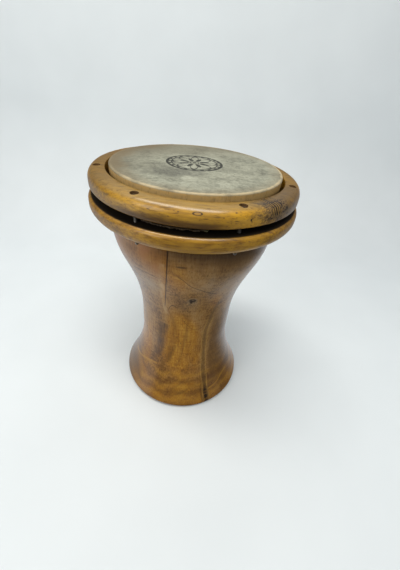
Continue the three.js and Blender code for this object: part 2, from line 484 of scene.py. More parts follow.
# Browner grain at the right, and dark streaks at the left of the waist.
right_brown = body.angle.above(30, 38) * body.angle.above(100, 80)
right_brown = right_brown * body.z.above(28, 45) * body.z.above(215, 170)
wood = wood.painted((0.12, 0.055, 0.014), right_brown * (0.35 + 0.4 * fibre.above(0.4, 0.6)))
streak = body.strip([(-34.4, 90), (-31, 111.6), (-29.7, 129.8), (-26.7, 155), (-24, 172)], 2.5, 9)
streak = streak.most(body.strip([(-19, 84), (-16, 107), (-15.5, 122)], 1.5, 6) * 0.7)
wood = wood.painted((0.085, 0.038, 0.014), streak * fibre.above(0.3, 0.62) * 0.9)

# The sap seam, from the bowl down to the split in the foot.
SEAM_LINE = [
    (27, 7), (27.3, 50), (27.2, 109), (26.2, 150), (29.2, 182), (31, 206), (35, 221), (40, 245)]
seam_off = abs(body.beside(SEAM_LINE)) + (ripple - 0.5) * 4
seam_reach = body.z.above(248, 200)
seam_core = seam_off.above(4.6, 2.0) * seam_reach
wood = wood.painted((0.13, 0.078, 0.024), seam_core * (0.2 + 0.35 * fibre.above(0.38, 0.6)))
seam_edge = abs(seam_off - 4.2).above(1.2, 0.3) * body.z.above(200, 160)
wood = wood.painted((0.50, 0.28, 0.06), seam_edge * 0.45)
seam_dark = strongest((
    body.strip(SEAM_LINE, 0.1, 0.9) * (0.15 + 0.6 * curl.above(0.42, 0.62)),
    body.strip([(24.1, 7), (22.6, 26), (25.3, 48), (26, 62)], 0.6, 2) * 0.6,
    body.strip([(30, 7), (30.6, 26), (32.6, 48), (29, 66)], 0.4, 2) * 0.5,
    body.strip([(24.6, 62), (24.4, 110), (23.6, 150)], 0.1, 0.8) * 0.4,
))
seam_depth = 0.3 + 0.5 * body.z.above(50, 24) + 0.2 * body.z.above(100, 140)
wood = wood.painted(UMBER, seam_dark * seam_depth)
foot_dark = body.spot(27, 15, 4, 17, 0.5, 106, warp=ripple)
wood = wood.painted((0.05, 0.03, 0.010), body.spot(27, 34, 3.6, 18, 0.6, 95, ripple) * 0.4)
wood = wood.painted((0.012, 0.008, 0.006), foot_dark * curl.above(0.3, 0.52) * 0.9)

# Greyer patches and a pale stripe beside the crack, both painted sheen, and thin curved lines of
# the grain.
painted_sheen = strongest((
    body.spot(24, 268, 20, 24, 0.9, 95, ripple),
    body.spot(-33, 262, 14, 22, 0.9, 95, ripple),
    body.spot(2, 225, 14, 14, 0.9, 84, ripple) * 0.7,
))
wood = wood.painted((0.32, 0.235, 0.145), painted_sheen * (0.3 + 0.4 * patch.above(0.4, 0.6)))
sheen_beside_crack = body.strip(
    [(-20, 195), (-22.5, 215), (-22, 235), (-20.2, 259), (-18.5, 280), (-16.5, 305)], 1, 4.5, 90)
wood = wood.painted((0.52, 0.34, 0.15), sheen_beside_crack * (0.25 + 0.4 * ripple.above(0.4, 0.6)))
arcs = strongest((
    body.arch([(-43, 278), (-34, 280), (-27, 278.6), (-21, 276.5)], 0.35, 0.8),
    body.arch(
        [(-6.6, 288.5), (-2.7, 282), (1.5, 272.6), (6.9, 266), (14.6, 258), (25.5, 248)], 0.3, 0.9),
    body.arch([(1, 224), (3.4, 226.4), (5.6, 223.6), (8, 226)], 0.4, 0.9),
    body.arch([(-19, 205), (-16.4, 214), (-13, 219.4), (-10, 217), (-8, 208.5)], 0.6, 1.0),
    body.arch([(-4, 191), (4, 176), (13, 167), (20, 170), (26, 183)], 0.2, 0.9) * 0.7,
))
wood = wood.painted(UMBER, arcs * 0.7)
pale = strongest((
    body.arch([(61.9, 38.9), (52.5, 36.6), (41.7, 29.6), (31, 27)], 0.6, 1.6),
    body.arch([(-80.7, 49.3), (-63, 55.9), (-45.2, 66.8), (-31.9, 71.6)], 0.8, 2),
))
wood = wood.painted(PALE_GOLD, pale * 0.45)

# The drying crack, the pin knot and small specks.
split = body.strip(CRACK_LINE, 0.2, 1.1, 100)
wood = wood.painted(UMBER, split * 0.75)
knot_rim = body.spot(KNOT_ANGLE, KNOT_Z, KNOT_WIDE, KNOT_TALL, 0.35, 84, ripple)
knot_eye = body.spot(KNOT_ANGLE, KNOT_Z + 0.4, 4.2, 3.6, 0.3, 84, ripple)
knot_eye = knot_eye.most(body.spot(KNOT_ANGLE - 0.8, KNOT_Z - 3.4, 1.7, 3, 0.5, 84, ripple))
knot_heart = body.spot(KNOT_ANGLE + 0.4, KNOT_Z + 0.6, 1.6, 1.2, 0.4, 84)
wood = wood.painted((0.27, 0.19, 0.11), knot_rim * 0.65)
wood = wood.painted((0.018, 0.010, 0.006), knot_eye * 0.9)
wood = wood.painted((0.17, 0.12, 0.075), knot_heart * 0.8)
SPECKS = (
    (1.7, 211, 1.4, 0.9), (-25.6, 279, 1.3, 0.8), (-41, 222, 0.9, 1.6), (14, 279, 0.9, 0.7),
    (-3.3, 134, 0.8, 2.2), (-29, 230, 1.3, 0.9), (-4.8, 304.8, 5, 1.5),
)
specks = strongest(body.spot(*mark) for mark in SPECKS)
wood = wood.painted(UMBER, specks * 0.7)
# Open pores, and painted shade below the rings, deeper at the right side.
wood = wood.painted(UMBER, pores * 0.45)
side_shade = 0.2 + 0.5 * body.angle.above(-10, 35) * body.angle.above(176, 130)
wood = wood.painted((0.055, 0.026, 0.009), shoulder * side_shade)
rosy = body.z.above(262, 300) * body.angle.above(-85, -60) * body.angle.above(-12, -22)
wood = wood.painted((0.36, 0.135, 0.026), rosy * (0.25 + 0.5 * patch.above(0.4, 0.6)))
# Painted shadow right under the rings.
under_ring_shade = (body.z + warp * 8).above(304, 330) * body.angle.above(-40, 0)
under_ring_shade = under_ring_shade * body.angle.above(176, 130)
wood = wood.painted((0.035, 0.014, 0.004), under_ring_shade * 0.72)
# Painted shade: the neck, where it shows in the gap between the rings, is painted nearly black.
neck = body.z.above(334, 336)
wood = wood.painted((0.02, 0.012, 0.007), neck * 0.9)
gloss = 0.3 + 0.2 * patch + 0.15 * pores
relief = fibre * 0.25 - pores * 0.5 + curl * 0.5 - seam_dark * 0.3
body_wood = body.finish(wood, gloss, relief, 0.12, coat=0.7, coat_roughness=0.18)

bore = Place("shell wood, inside")
fibre, pores = fine_wood(bore, 2)
plain = (fibre * 0.7 + bore.at.speckle(30, 4) * 0.5 - 0.1)
plain = plain.colours((0.25, (0.10, 0.05, 0.02)), (0.7, (0.26, 0.15, 0.07)))
tool_marks = (bore.z / 1.7 + fibre * 0.6).wave()
bore_wood = bore.finish(plain, 0.68 + 0.2 * fibre, tool_marks + fibre, 0.25)

shell_piece.data.materials.append(body_wood)
shell_piece.data.materials.append(bore_wood)
for face in shell_piece.data.polygons:
    height = face.center.z / MM
    within = radius_of(face.center) < shell_radius(max(height, FOOT_Z)) - WALL / 2
    face.material_index = int(within and height > 3)
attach(shell_piece, "root")
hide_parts("shell")


# Lower ring
# A thick ring of honey-coloured wood with a fully rounded lower edge, turned from a wide plank
# and glued round the seat under the bowl's rim. Seven clearance holes pass straight through it.

LOWER_BORE_R, LOWER_R = 108.7, 134.9
LOWER_LOW, LOWER_TOP = 334, 355.8
LOWER_ROUND_LOW, LOWER_ROUND_TOP = 12.8, 5.4
BOLT_CIRCLE_R = 121.2
BOLT_ANGLES = (-76.6, -28.7, 23.3, 73.2, 125.5, 177.5, 230)
SHANK_HOLE_R = 2.85
WORN_EDGE = 0.5
GAP_LOW, GAP_HIGH = 358, 361
RING_STEPS, HOLE_STEPS = 480, 28


def drill(profile):
    """A turned bar for every bolt hole, from the profile of one."""
    bars = []
    for bolt_angle in BOLT_ANGLES:
        bar = turn(profile(bolt_angle), HOLE_STEPS, closed=False)
        bmesh.ops.translate(bar, verts=bar.verts, vec=on_drum(bolt_angle, BOLT_CIRCLE_R, 0))
        bars.append(bar)
    return bars


def ring_wood(name, seed, honey, amber, brown, tan):
    """Plank wood with the grain from left to right: end grain shows darker at the two sides, and
    the faces in the gap between the rings get painted shade.
    """
    ring = Place(name)
    shifted = ring.at.placed((1, 1, 1), (seed * 31, seed * 17, seed * 11))
    broad = shifted.speckle(48, seed, (2.4, 1, 1), detail=2)
    small = shifted.speckle(9, seed + 1, (4, 1, 1), detail=3)
    layers = (ring.y / 9 + ring.z / 13 + broad * 6 + small * 1.6).wave()
    fibre, pores = fine_wood(ring, 0)
    flecks = shifted.speckle(2.3, seed + 5, (5, 1, 1), detail=2).above(0.64, 0.72)
    patch = shifted.speckle(30, seed + 3, (2, 1, 1), detail=3)
    long = shifted.speckle(3.2, seed + 9, (9, 1, 0.8), detail=3)
    tone = fibre * 0.6 + patch * 0.8 + layers * 0.12 + small * 0.4 + long * 0.7 - 0.75
    wood = tone.colours((0.2, brown), (0.42, amber), (0.7, honey))
    upper = ring.z.above(380.5, 383.5)
    wood = wood.painted(tan, (broad + small * 0.2).above(0.55, 0.7) * 0.3)
    wood = wood.painted(tan, upper * (0.9 - 0.5 * fibre))
    wood = wood.painted(brown, upper * long.above(0.5, 0.64) * 0.3)
    aside = abs(ring.x / 132)
    end_grain = aside.above(0.5, 0.98)
    ring.coat = (0.9 - 0.8 * end_grain) * ring.z.above(334, 346)
    wood = wood.painted(brown, end_grain * 0.45)
    wood = wood.painted((0.06, 0.028, 0.008), pores * 0.4)
    wood = wood.painted((0.09, 0.04, 0.010), flecks * 0.55)
    side_streaks = shifted.speckle(5, seed + 7, (3.2, 1, 0.6), detail=3).above(0.52, 0.66)
    wood = wood.painted((0.11, 0.06, 0.010), side_streaks * aside.above(0.2, 0.7) * 0.6)
    # Painted shade: the faces inside the gap between the two rings are painted nearly black.
    between = ring.radius.above(132.5, 130.5)
    low_face = ring.z.above(LOWER_TOP - 1.2, LOWER_TOP - 0.2) * ring.z.above(GAP_HIGH, GAP_LOW)
    high_face = ring.z.above(365.2, 364.2) * ring.z.above(GAP_LOW, GAP_HIGH)
    ring.hidden = between * (low_face + high_face)
    ring.coat = ring.coat * (1 - ring.hidden)
    wood = wood.painted((0.003, 0.002, 0.001), ring.hidden * 0.97)
    ring.fibre, ring.pores, ring.patch, ring.small = fibre, pores, patch, small
    return ring, wood


lower_profile = [(LOWER_BORE_R, z) for z in span(LOWER_TOP, LOWER_LOW, 8)]
lower_profile += rounding(
    LOWER_R - LOWER_ROUND_LOW, LOWER_LOW + LOWER_ROUND_LOW, LOWER_ROUND_LOW, -90, 0, 16)
lower_profile += rounding(
    LOWER_R - LOWER_ROUND_TOP, LOWER_TOP - LOWER_ROUND_TOP, LOWER_ROUND_TOP, 0, 90, 10)
lower_profile += [(r, LOWER_TOP) for r in (125, 118, 112)]
lower = turn(lower_profile, RING_STEPS)
for vert in lower.verts:
    if radius_of(vert.co) > 120:
        push_out(vert, ripples(vert, 22, 0.35, (4, 0, 0)))
lower_piece = as_object("lower_ring_wood", lower)


def clearance(_):
    """Profile of a straight hole with softly worn edges."""
    edge = SHANK_HOLE_R + WORN_EDGE
    wide = [(0, LOWER_LOW - 5), (edge, LOWER_LOW - 5), (edge, LOWER_LOW - 0.1)]
    wide += [(SHANK_HOLE_R, LOWER_LOW + WORN_EDGE), (SHANK_HOLE_R, LOWER_TOP - WORN_EDGE)]
    return wide + [(edge, LOWER_TOP + 0.1), (edge, LOWER_TOP + 5), (0, LOWER_TOP + 5)]


def drilled_faces(piece, hole_r, material):
    """Gives the faces of a ring that lie inside its bolt holes a material of their own."""
    piece.data.materials.append(material)
    axes = [on_drum(bolt_angle, BOLT_CIRCLE_R, 0).to_2d() for bolt_angle in BOLT_ANGLES]
    for face in piece.data.polygons:
        off_axis = min((face.center.to_2d() - axis).length for axis in axes) / MM
        within = off_axis < hole_r - 0.6 or (off_axis < hole_r + 0.15 and abs(face.normal.z) < 0.75)
        face.material_index = int(within)


cut(lower_piece, drill(clearance))
shade(lower_piece)
# The walls of the bolt holes: wood grain painted dark as shade.
drilled = Place("drilled wood")
fibre, _ = fine_wood(drilled, 0)
hole_wall_shade = fibre.colours((0.3, (0.07, 0.036, 0.013)), (0.7, (0.15, 0.08, 0.028)))
drilled_wood = drilled.finish(hole_wall_shade, 0.75, fibre, 0.1)
BARK = (0.10, 0.044, 0.003)
lower_ring, wood = ring_wood(
    "lower ring wood", 2, (0.44, 0.222, 0.006), (0.27, 0.125, 0.003), BARK, (0.25, 0.135, 0.028))
gloss = 0.34 + 0.2 * lower_ring.patch + 0.4 * lower_ring.hidden
relief = lower_ring.fibre * 0.3 - lower_ring.pores * 0.6
lower_piece.data.materials.append(lower_ring.finish(
    wood, gloss, relief, 0.1, coat=lower_ring.coat, coat_roughness=0.26))
drilled_faces(lower_piece, SHANK_HOLE_R, drilled_wood)
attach(lower_piece, "root")
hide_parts("lower_ring")


# Top ring
# A matching ring with a broad round shoulder, which presses on the lapped edge of the skin. It
# sits a little lower at the right, where it has been pulled down further. A knot with open
# splits crosses it at the right of the front, and the bolts' caps lie in counterbored holes.

TOP_R, TOP_BORE_R, TOP_MID_Z, TOP_HALF = 132, 111.9, 373.9, 10.7
TOP_ROUND_TOP, TOP_ROUND_LOW = 10.5, 4.7
TILT = math.radians(0.52)
CAP_HOLE_R, CAP_HEIGHT, CAP_SINK = 4.7, 5, 2.4


def top_face(angle):
    """Height of the top ring's upper face where a bolt passes through it."""
    x = BOLT_CIRCLE_R * math.sin(math.radians(angle))
    return TOP_MID_Z + TOP_HALF - x * math.tan(TILT)


def top_ring_radius(z):
    """Outside radius of the top ring at a height."""
    over = max(0, z - (TOP_MID_Z + TOP_HALF - TOP_ROUND_TOP))
    over = min(over, TOP_ROUND_TOP - 0.4)
    return TOP_R - TOP_ROUND_TOP + math.sqrt(TOP_ROUND_TOP ** 2 - over ** 2)


def counterbore(angle):
    """Profile of a bolt hole: a clearance hole below and a wide seat for the cap above."""
    face = top_face(angle)
    seat = face - CAP_SINK - CAP_HEIGHT - 0.3
    hole = [(0, LOWER_TOP), (SHANK_HOLE_R, LOWER_TOP), (SHANK_HOLE_R, seat), (CAP_HOLE_R, seat)]
    hole += [(CAP_HOLE_R - 0.3, face - 0.6), (CAP_HOLE_R - 0.15, face - 0.2)]
    return hole + [(CAP_HOLE_R + 0.3, face + 0.3), (CAP_HOLE_R + 0.3, face + 8), (0, face + 8)]


top_profile = [(TOP_BORE_R, z) for z in span(TOP_HALF - 0.9, -TOP_HALF + 0.6, 8)]
top_profile += [(TOP_BORE_R + 0.6, -TOP_HALF), (119, -TOP_HALF)]
top_profile += rounding(
    TOP_R - TOP_ROUND_LOW, -TOP_HALF + TOP_ROUND_LOW, TOP_ROUND_LOW, -90, 0, 10)
top_profile += [(TOP_R, z) for z in (-3.4, -1.2)]
top_profile += rounding(TOP_R - TOP_ROUND_TOP, TOP_HALF - TOP_ROUND_TOP, TOP_ROUND_TOP, 0, 90, 18)
top_profile += [(117.5, TOP_HALF), (TOP_BORE_R + 0.9, TOP_HALF)]
top_profile += [(TOP_BORE_R + 0.25, TOP_HALF - 0.25)]
top = turn(top_profile, RING_STEPS)
bmesh.ops.rotate(top, verts=top.verts, cent=(0, 0, 0), matrix=Matrix.Rotation(TILT, 3, "Y"))
bmesh.ops.translate(top, verts=top.verts, vec=(0, 0, TOP_MID_Z * MM))
for vert in top.verts:
    if radius_of(vert.co) > 121:
        push_out(vert, ripples(vert, 20, 0.35, (0, 7, 0)))
top_piece = as_object("top_ring_wood", top)
SPLIT_DEEP = 2.6
LONG_SPLIT = (
    (40.7, 372.6, 0.1), (40.2, 376, 0.8), (40, 380.5, 1.0), (38.8, 383.4, 0.9), (37.2, 384.3, 0.2))
SHORT_SPLIT = ((43.4, 378.4, 0.1), (44.4, 380.6, 0.6), (43.8, 383.2, 0.3))
LOW_SPLIT = ((25.9, 371.4, 0.2), (25.3, 373.2, 0.9), (26.7, 375.3, 0.2))
splits = [slit(path, top_ring_radius, SPLIT_DEEP) for path in (LONG_SPLIT, SHORT_SPLIT, LOW_SPLIT)]
cut(top_piece, drill(counterbore) + splits)
shade(top_piece)

top_ring, wood = ring_wood(
    "top ring wood", 5, (0.64, 0.325, 0.004), (0.40, 0.19, 0.002), BARK, (0.29, 0.19, 0.058))
# Darker towards the bottom of the front face, a browner left side and a greyer right side.
low_front_dark = (top_ring.z + top_ring.small * 6).above(379, 371.5) * top_ring.angle.above(-48, -28)
low_front_dark = low_front_dark * top_ring.angle.above(25, 5) * top_ring.radius.above(127, 129)
wood = wood.painted((0.06, 0.025, 0.006), low_front_dark * 0.85)
left_face = top_ring.angle.above(-22, -55) * top_ring.angle.above(-150, -120)
left_face = left_face * (0.5 + 0.5 * top_ring.z.above(383, 379))
left_streaks = 0.3 + 0.45 * top_ring.fibre.above(0.42, 0.58)
wood = wood.painted((0.12, 0.068, 0.012), left_face * left_streaks)
grey = top_ring.angle.above(30, 50) * top_ring.angle.above(84, 62)
wood = wood.painted((0.09, 0.058, 0.032), grey * 0.6)
# The knot: swirls, and lines nested beside its longest split, which run on over the top.
SIDE_R, LINE_PITCH = 130, 3.3
knot = top_ring.spot(41, 377, 25, 10, 0.5, 128, top_ring.small)
swirl_noise = top_ring.at.speckle(9, 21, (1.4, 1, 0.7), detail=2)
swirl = (swirl_noise * 8).wave().above(0.55, 0.8)
wood = wood.painted((0.15, 0.095, 0.045), knot * 0.6)
wood = wood.painted((0.03, 0.018, 0.010), knot * swirl * 0.9)
bend = [(a, z) for a, z, _ in LONG_SPLIT[:4]]
nested = top_ring.beside(bend, SIDE_R) + (top_ring.small - 0.5) * 3
nest_reach = nested.above(-9, -5) * nested.above(9.5, 6) * top_ring.z.above(371, 374)
nested = (nested / LINE_PITCH + 0.25).wave().above(0.32, 0.56) * nest_reach
wood = wood.painted((0.40, 0.22, 0.03), nest_reach * 0.5)
wood = wood.painted((0.014, 0.008, 0.005), nested * 0.95)
dark_lines = [
    top_ring.strip(bend, 0.5, 1.2, SIDE_R),
    top_ring.strip([(a, z) for a, z, _ in SHORT_SPLIT], 0.4, 1.0, SIDE_R),
    top_ring.strip([(25.9, 371), (25.3, 373.2), (26.7, 375.3)], 0.6, 0.8, SIDE_R),
    top_ring.arch([(33, 384.6), (36, 384.6), (38, 384.3), (39.6, 383.4)], 0.1, 0.6),
    top_ring.arch([(36.9, 382.4), (38.3, 380.5), (39.5, 382.1)], 0.2, 0.7),
]
for mark in ((48.2, 376.3, 3, 1.5), (49.7, 369.9, 2.4, 1.6), (33.7, 374.7, 2, 1.4)):
    dark_lines.append(top_ring.spot(*mark, 0.5, SIDE_R, top_ring.small) * 0.7)
past = (top_ring.x - 60).most(0)
grain_line = top_ring.y + 102.5 - past * past * 0.02
on_face = top_ring.x.above(52, 60) * top_ring.x.above(88, 82) * abs(grain_line).above(4, 2)
on_face = on_face * top_ring.z.above(382, 383.4)
grain_line = (grain_line + (top_ring.small - 0.5) * 1.5) / LINE_PITCH + 0.25
grain_line = grain_line.wave().above(0.32, 0.58)
dark_lines = strongest(dark_lines + [grain_line * on_face])
wood = wood.painted((0.016, 0.010, 0.007), dark_lines * 0.9)

# A small oval mark on the front, and flecks about it.
eye_u = (top_ring.angle - 1.7) / 1.8
eye_v = (top_ring.z - 379.6) / 1.25
eye = (eye_u * eye_u + eye_v * eye_v) ** 0.5
eye_line = abs(eye - 1).above(0.36, 0.12)
wood = wood.painted((0.045, 0.022, 0.009), eye_line * 0.9)
wood = wood.painted((0.40, 0.21, 0.05), eye.above(0.9, 0.6) * 0.5)
SMALL_MARKS = (
    (-18.8, 377.9, 1.5, 0.5), (-6.2, 379.8, 0.9, 0.5), (-10.1, 374.7, 0.9, 0.5),
    (18.2, 380.6, 1.2, 0.6), (5, 375.6, 2.4, 0.4), (12.6, 376.9, 0.9, 0.5),
    (18.5, 373.1, 2.4, 0.5),
)
small_marks = strongest(top_ring.spot(*mark, 0.5, SIDE_R) for mark in SMALL_MARKS)
wood = wood.painted((0.07, 0.035, 0.014), small_marks * 0.75)
gloss = 0.33 + 0.2 * top_ring.patch + 0.2 * knot + 0.4 * top_ring.hidden
relief = top_ring.fibre * 0.3 - top_ring.pores * 0.6 - eye_line * 0.8 - dark_lines
top_piece.data.materials.append(top_ring.finish(
    wood, gloss, relief, 0.14, coat=top_ring.coat, coat_roughness=0.26))
drilled_faces(top_piece, CAP_HOLE_R, drilled_wood)
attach(top_piece, "root")
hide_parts("top_ring")


# Drum head
# A thick animal skin, soaked and stretched over the bearing edge, its collar drawn down round
# the neck and its edge lapped round a flesh hoop under the top ring. A ragged lip of spare skin
# hangs out at the front left, and a plain rosette is printed on the playing face in black.

HEAD_TOP, SKIN = 390, 1.3
COLLAR_R, COLLAR_BORE_R = 107.5, 106.3
HOOP_R, HOOP_HALF = 117.3, 2.5
HOOP_Z = TOP_MID_Z - TOP_HALF - 3
LIP_FROM, LIP_TO, LIP_REACH, LIP_SKIN = -44, 10.5, 9.5, 1.5

head_profile = [(r, HEAD_TOP) for r in (0, 4, 12, 24, 36, 48, 60, 72, 82, 90, 95, 99, 102, 104.5)]
head_profile += rounding(COLLAR_R - 1.7, HEAD_TOP - 1.7, 1.7, 82, 0, 7)
head_profile += [(COLLAR_R, z) for z in span(387, 364.5, 10)]
head_profile += [(COLLAR_R + 0.5, 363.2), (COLLAR_R + 2, HOOP_Z + HOOP_HALF)]
head_profile += [(112, HOOP_Z + HOOP_HALF)]
head_profile += rounding(HOOP_R - HOOP_HALF, HOOP_Z, HOOP_HALF, 90, -90, 10)
head_profile += [(110, HOOP_Z - HOOP_HALF), (COLLAR_BORE_R, HOOP_Z - HOOP_HALF)]
head_profile += [(COLLAR_BORE_R, z) for z in (364, 372, 380, SHELL_TOP - 2)]
head_profile += [(COLLAR_BORE_R - 1, 388.1)]
head_profile += [(r, HEAD_TOP - SKIN) for r in (COLLAR_BORE_R - 2.2, 60, 0)]
head = turn(head_profile, RING_STEPS, closed=False)

lip = bmesh.new()
bmesh.ops.create_grid(lip, x_segments=150, y_segments=8, size=0.5)
for vert in lip.verts:
    along, out = vert.co.x + 0.5, vert.co.y + 0.5
    a = LIP_FROM + (LIP_TO - LIP_FROM) * along
    waves = noise.noise(Vector((a * 0.35, 0, 0))) * 2.2
    nicks = noise.noise(Vector((a * 1.4, 5, 0))) * 1.3
    swell = min(1, along * 2.2) * min(1, (1 - along) * 14)
    reach = 2 + (LIP_REACH + waves + nicks) * swell
    near_bolt = math.exp(-((a - BOLT_ANGLES[1]) / 2.6) ** 2)
    reach = reach * (1 - near_bolt) + 2.6 * near_bolt
    droop = noise.noise(Vector((a * 0.5, out * 2, 9))) * 0.9 - out * 1.1 * swell
    tilt_drop = -(BOLT_CIRCLE_R * math.sin(math.radians(a))) * math.tan(TILT)
    vert.co = on_drum(a, HOOP_R - 3 + (reach + 1) * out, HOOP_Z + 1 + droop + tilt_drop)
bmesh.ops.recalc_face_normals(lip, faces=lip.faces)
bmesh.ops.solidify(lip, geom=lip.faces[:], thickness=LIP_SKIN * MM)
bmesh.ops.recalc_face_normals(lip, faces=lip.faces)

for vert in head.verts:
    z, r, a = vert.co.z / MM, radius_of(vert.co), angle_of(vert.co)
    follow = min(max((370 - z) / 6, 0), 1)
    vert.co.z -= vert.co.x * math.tan(TILT) * follow
    around = math.radians(a)
    pleat = noise.noise(Vector((math.sin(around) * 14, math.cos(around) * 14, z * 0.05)))
    if r > COLLAR_R - 0.3 and z < 384:
        push_out(vert, pleat * (0.25 + 0.5 * follow))
    if z > HEAD_TOP - 0.6:
        vert.co.z += ripples(vert, 30, 0.1) * MM
    if follow == 1:
        vert.co.z += pleat * 0.4 * MM
join(head, lip)
head_piece = as_object("skin_head", head)
shade(head_piece, 40)

skin = Place("goat skin")
cloud = skin.at.speckle(42, 1, detail=4, rough=0.6)
blotch = skin.at.speckle(13, 2, detail=4, rough=0.6)
veins = skin.at.speckle(5, 4, detail=3, rough=0.65)
hide = skin.at.speckle(0.9, 6, detail=3, rough=0.6)
mottle = skin.at.speckle(1.9, 9, (1.8, 1, 1), detail=3, rough=0.75)
# Mottled hide with a bruise at the front left, then a yellowed rim and a cream edge.
tone = 0.5 + (cloud - 0.5) * 0.75 + (blotch - 0.5) * 0.45 + (veins - 0.5) * 0.35
tone = tone + (mottle - 0.5) * 0.7
leather = tone.colours(
    (0.2, (0.095, 0.093, 0.073)), (0.5, (0.28, 0.282, 0.215)), (0.8, (0.44, 0.44, 0.345)))
shadow_u = (skin.x + 28) / 34
shadow_v = (skin.y + 46) / 15
bruise = ((shadow_u * shadow_u + shadow_v * shadow_v) ** 0.5 + (blotch - 0.5) * 2).above(1.5, 0.5)
leather = leather.painted((0.10, 0.10, 0.082), bruise * (0.2 + 0.7 * mottle.above(0.42, 0.6)))

far_side = (skin.x * -0.35 + skin.y).above(10, 90)
leather = leather.painted((0.17, 0.15, 0.10), far_side * 0.55)
left_side = skin.angle.above(-25, -75) * skin.angle.above(-175, -130)
ochre = (skin.radius + (blotch - 0.5) * 24 + left_side * 5).above(86, 106)
leather = leather.painted((0.21, 0.15, 0.075), ochre * (0.3 + 0.5 * left_side))
leather = leather.painted((0.13, 0.11, 0.07), left_side * skin.radius.above(30, 100) * 0.4)
edge_cream = (skin.radius + (veins - 0.5) * 4).above(103.4, 105.2) * (1 - 0.9 * left_side)
leather = leather.painted((0.52, 0.42, 0.25), edge_cream * (0.3 + 0.6 * blotch.above(0.36, 0.6)))
# The tan collar with its creases, painted shade where it goes down into the ring, the lapped edge
# painted nearly black as shade, and the lip.
collar = (skin.z + (veins - 0.5) * 1.5).above(388.9, 387.6)
leather = leather.painted((0.62, 0.41, 0.155), collar * (0.9 - 0.7 * (veins - 0.5)))
crease = skin.at.speckle(3, 15, (1, 1, 2.5), detail=4, rough=0.7).above(0.5, 0.7) * collar
leather = leather.painted((0.17, 0.10, 0.036), crease * 0.4)
# Painted shade where the collar goes down into the ring.
collar_shade = skin.z.above(383.5, 378)
leather = leather.painted((0.09, 0.052, 0.018), collar_shade * 0.9)
# Painted shade: the lapped edge under the top ring, nearly black.
lap_shade = skin.z.above(367, 363)
leather = leather.painted((0.006, 0.004, 0.003), lap_shade * 0.97)
lip_skin = lap_shade * skin.radius.above(117.6, 119)
leather = leather.painted((0.07, 0.045, 0.024), lip_skin * (0.3 + 0.8 * blotch))
leather = leather.painted((0.13, 0.14, 0.06), skin.angle.above(4, 8) * lip_skin * 0.6)

# The rosette: two rings, petals, leaves and a boss, with beads between the rings.
ROSETTE_X, ROSETTE_Y, ROSETTE_R = -3.5, 3, 36
rosette_x = skin.x - ROSETTE_X
rosette_y = skin.y - ROSETTE_Y
rosette_r = (rosette_x * rosette_x + rosette_y * rosette_y) ** 0.5
rosette_a = rosette_x.maths("ARCTAN2", rosette_x, rosette_y)
wobble = (veins - 0.5) * 0.9
outer_line = abs(rosette_r - ROSETTE_R + 1.5 + wobble).above(2.0, 1.3)
inner_line = abs(rosette_r - ROSETTE_R + 7 + wobble).above(1.2, 0.6)
petal_edge = abs((rosette_a * 4).maths("COSINE", rosette_a * 4)) ** 0.7 * 27
petals = abs(rosette_r - petal_edge - 1).above(1.9, 1.1)
small_petals = abs((rosette_a * 4).maths("SINE", rosette_a * 4)) ** 1.5 * 17
leaves = (rosette_r - small_petals - 3).above(0.4, -0.3) * rosette_r.above(7.5, 8)
boss = abs(rosette_r - 5.6).above(0.8, 0.45).most(rosette_r.above(2.6, 2.1))
beads = ((rosette_a * 20).maths("COSINE", rosette_a * 20)).above(-0.1, 0.4)
beads = beads * abs(rosette_r - ROSETTE_R + 4.2).above(1.7, 1.2)
ink = strongest((outer_line, inner_line, petals, leaves, boss, beads))
ink = ink * rosette_r.above(ROSETTE_R + 1, ROSETTE_R) * skin.z.above(388.9, 389.4)
wear = 0.75 + 0.4 * hide.above(0.35, 0.6)
leather = leather.painted((0.02, 0.02, 0.018), ink * wear.maths("MINIMUM", wear, 0.92))
gloss = 0.46 + 0.16 * blotch - 0.14 * edge_cream
relief = hide * 0.4 + veins * 0.6 + blotch * 0.5 + mottle * 0.8
head_piece.data.materials.append(skin.finish(leather, gloss, relief, 0.14))
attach(head_piece, "root")
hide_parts("drum_head")


# Bolts
# Seven long steel cap screws with hexagon sockets. Their heads lie sunk in the top ring, their
# threaded shanks cross the gap, and their rounded tips stand out under the lower ring.

SHANK_R, THREAD_DEPTH, THREAD_PITCH = 2.5, 0.3, 0.8
CAP_R, SOCKET_R, SOCKET_DEPTH = 4.2, 2.3, 2.6
TIP_Z, TIP_ROUND = 328.1, 2.2
BOLT_STEPS = 24

steel = Place("zinc-plated steel")
cloud = steel.at.speckle(3, 1, detail=3)
scratch = steel.at.speckle(0.4, 2, (1, 1, 6), detail=2)
metal = cloud.colours((0.3, (0.20, 0.19, 0.17)), (0.7, (0.40, 0.39, 0.36)))
in_hole = steel.z.above(368, 372)
metal = metal.painted((0.17, 0.115, 0.072), in_hole * 0.9)
rust = in_hole * cloud.above(0.42, 0.6)
metal = metal.painted((0.16, 0.08, 0.032), rust * 0.75)
steel.shader.inputs["Metallic"].default_value = 1
bolt_steel = steel.finish(metal, 0.28 + 0.2 * cloud + 0.3 * in_hole, scratch, 0.05)

